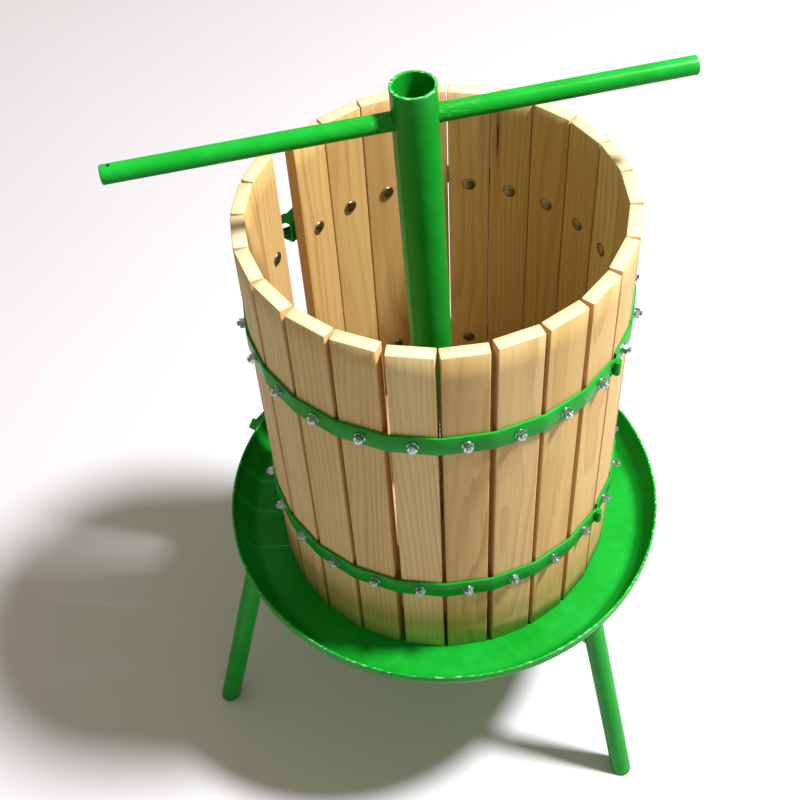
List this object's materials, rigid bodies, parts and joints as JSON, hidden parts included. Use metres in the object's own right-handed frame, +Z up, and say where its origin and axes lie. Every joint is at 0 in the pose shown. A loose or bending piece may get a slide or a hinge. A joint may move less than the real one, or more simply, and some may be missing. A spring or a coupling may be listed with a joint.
{
  "type": "apple cider press",
  "caption": "Free-standing fruit press: hinged slatted wooden basket in a round juice tray on splayed legs, pressed by a screw tube turned with a crossbar.",
  "frame": {"origin": "on the ground, under the middle of the bounding box", "axes": "+Z up; -Y towards the viewer of the basket's front; the press axis stands 30 mm to +X and 32 mm to -Y of the origin"},
  "size_m": [0.6304, 0.6356, 0.9844],
  "materials": {
    "green_paint": "gloss enamel, slightly uneven",
    "slat_wood": "planed, unvarnished light hardwood",
    "plate_wood": "planed, unvarnished light hardwood",
    "bright_steel": "zinc plated or bright turned",
    "dark_steel": "bare drawn wire, darkened"
  },
  "bodies": {
    "frame": {"tray": "green_paint", "spout": "green_paint", "base_plate": "green_paint", "leg_left": "green_paint", "leg_right": "green_paint", "leg_back": "green_paint", "brace_left": "green_paint", "brace_right": "green_paint", "brace_back": "green_paint", "spindle": "bright_steel", "spindle_collar": "green_paint", "base_nut": "bright_steel"},
    "basket_front": {"slat_front_01": "slat_wood", "slat_front_02": "slat_wood", "slat_front_03": "slat_wood", "slat_front_04": "slat_wood", "slat_front_05": "slat_wood", "slat_front_06": "slat_wood", "slat_front_07": "slat_wood", "slat_front_08": "slat_wood", "slat_front_09": "slat_wood", "slat_front_10": "slat_wood", "slat_front_11": "slat_wood", "slat_front_12": "slat_wood", "lower_hoop_front": "green_paint", "upper_hoop_front": "green_paint", "hinge_pin_lower": "green_paint", "hinge_pin_upper": "green_paint", "latch_catch_lower": "green_paint", "latch_catch_upper": "green_paint"},
    "basket_rear": {"slat_rear_01": "slat_wood", "slat_rear_02": "slat_wood", "slat_rear_03": "slat_wood", "slat_rear_04": "slat_wood", "slat_rear_05": "slat_wood", "slat_rear_06": "slat_wood", "slat_rear_07": "slat_wood", "slat_rear_08": "slat_wood", "slat_rear_09": "slat_wood", "slat_rear_10": "slat_wood", "slat_rear_11": "slat_wood", "slat_rear_12": "slat_wood", "lower_hoop_rear": "green_paint", "upper_hoop_rear": "green_paint", "latch_base_lower": "green_paint", "latch_base_upper": "green_paint"},
    "latch_lever_lower": {"latch_lever_lower": "green_paint"},
    "latch_lever_upper": {"latch_lever_upper": "green_paint"},
    "latch_bail_lower": {"latch_bail_lower": "dark_steel"},
    "latch_bail_upper": {"latch_bail_upper": "dark_steel"},
    "thrust_ring": {"thrust_ring": "bright_steel"},
    "press_head": {"press_nut": "bright_steel", "press_tube": "green_paint"},
    "crossbar": {"crossbar": "green_paint"},
    "pressing_plate": {"plate_front": "plate_wood", "plate_back": "plate_wood", "batten_front": "plate_wood", "batten_back": "plate_wood", "block_left": "plate_wood", "block_right": "plate_wood"}
  },
  "joints": [
    {"name": "basket_lift", "type": "slide", "parent": "frame", "child": "basket_front", "axis": [0, 0, 1], "range_m": [0, 0.085]},
    {"name": "basket_hinge", "type": "hinge", "parent": "basket_front", "child": "basket_rear", "pos_m": [0.21394, -0.15704, 0.56], "axis": [0, 0, -1], "range_deg": [-2.6, 8.5]},
    {"name": "plate_lift", "type": "slide", "parent": "frame", "child": "pressing_plate", "axis": [-0.025, 0, 0.9997], "range_m": [0, 0.092]},
    {"name": "head_travel", "type": "slide", "parent": "frame", "child": "thrust_ring", "axis": [-0.025, 0, 0.9997], "range_m": [-0.093, 0.2505]},
    {"name": "head_turn", "type": "hinge", "parent": "thrust_ring", "child": "press_head", "pos_m": [0.02458, -0.0323, 0.49494], "axis": [-0.025, 0, 0.9997], "range_deg": [-6660, 18000]},
    {"name": "crossbar_slide", "type": "slide", "parent": "press_head", "child": "crossbar", "axis": [0.9874, 0.1564, 0.0246], "range_m": [-0.25, 0.27]},
    {"name": "lever_swing_lower", "type": "hinge", "parent": "basket_rear", "child": "latch_lever_lower", "pos_m": [-0.14207, 0.10361, 0.425], "axis": [0, 0, 1], "range_deg": [0, 90]},
    {"name": "bail_swing_lower", "type": "hinge", "parent": "latch_lever_lower", "child": "latch_bail_lower", "pos_m": [-0.13681, 0.10905, 0.425], "axis": [0, 0, 1], "range_deg": [-90, 0]},
    {"name": "lever_swing_upper", "type": "hinge", "parent": "basket_rear", "child": "latch_lever_upper", "pos_m": [-0.14207, 0.10361, 0.697], "axis": [0, 0, 1], "range_deg": [0, 90]},
    {"name": "bail_swing_upper", "type": "hinge", "parent": "latch_lever_upper", "child": "latch_bail_upper", "pos_m": [-0.13681, 0.10905, 0.697], "axis": [0, 0, 1], "range_deg": [-90, 0]}
  ],
  "couplings": [
    {"joint": "head_travel", "follows": "head_turn", "m_per_rad": 0.00079577},
    {"joint": "bail_swing_lower", "follows": "lever_swing_lower", "ratio": -1},
    {"joint": "bail_swing_upper", "follows": "lever_swing_upper", "ratio": -1}
  ]
}
